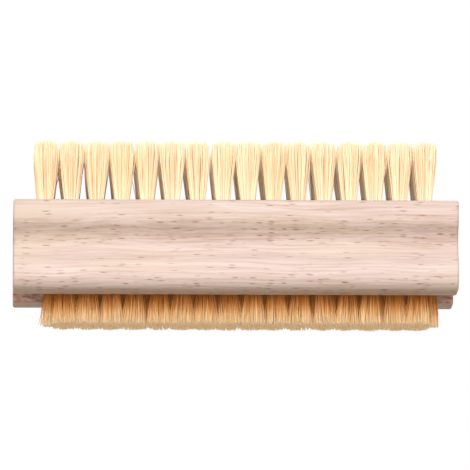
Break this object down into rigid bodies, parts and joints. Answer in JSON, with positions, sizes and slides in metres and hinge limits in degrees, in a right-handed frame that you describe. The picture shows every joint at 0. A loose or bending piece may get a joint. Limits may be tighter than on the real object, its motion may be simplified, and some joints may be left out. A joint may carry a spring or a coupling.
{
  "type": "nail brush",
  "caption": "Double-sided beech nail brush with finger coves: long bristle tufts in a grid on the flat top, short dense tufts in a channel between two lips below.",
  "frame": {"origin": "middle of the brush's length and width, on the plane of the lower tufts' trimmed tips", "axes": "+X along the brush, +Y across it, +Z from the short tufts up to the long tufts"},
  "size_m": [0.095, 0.035, 0.0386],
  "materials": {
    "beech": "bare sanded pale beech, pinkish, with fine dark flecks along the grain",
    "bristle": "pale straw natural bristle, slightly translucent, trimmed ends",
    "anchor_wire": "plain flat steel wire, hidden in the holes"
  },
  "bodies": {
    "root": {"wood_body": "beech", "upper_tufts_01": "bristle", "upper_tufts_02": "bristle", "upper_tufts_03": "bristle", "upper_tufts_04": "bristle", "upper_tufts_05": "bristle", "upper_tufts_06": "bristle", "upper_tufts_07": "bristle", "upper_tufts_08": "bristle", "upper_tufts_09": "bristle", "upper_tufts_10": "bristle", "upper_tufts_11": "bristle", "upper_tufts_12": "bristle", "upper_tufts_13": "bristle", "upper_tufts_14": "bristle", "upper_tufts_15": "bristle", "upper_tufts_16": "bristle", "lower_tufts_01": "bristle", "lower_tufts_02": "bristle", "lower_tufts_03": "bristle", "lower_tufts_04": "bristle", "lower_tufts_05": "bristle", "lower_tufts_06": "bristle", "lower_tufts_07": "bristle", "lower_tufts_08": "bristle", "lower_tufts_09": "bristle", "lower_tufts_10": "bristle", "lower_tufts_11": "bristle", "lower_tufts_12": "bristle", "lower_tufts_13": "bristle", "lower_tufts_14": "bristle", "lower_tufts_15": "bristle", "lower_tufts_16": "bristle", "lower_tufts_17": "bristle", "lower_tufts_18": "bristle", "lower_tufts_19": "bristle", "lower_tufts_20": "bristle", "lower_tufts_21": "bristle", "lower_tufts_22": "bristle", "lower_tufts_23": "bristle", "lower_tufts_24": "bristle", "lower_tufts_25": "bristle", "lower_tufts_26": "bristle", "lower_tufts_27": "bristle", "lower_tufts_28": "bristle", "lower_tufts_29": "bristle", "lower_tufts_30": "bristle", "lower_tufts_31": "bristle", "lower_tufts_32": "bristle", "lower_tufts_33": "bristle", "upper_anchors": "anchor_wire", "lower_anchors": "anchor_wire"}
  },
  "joints": []
}
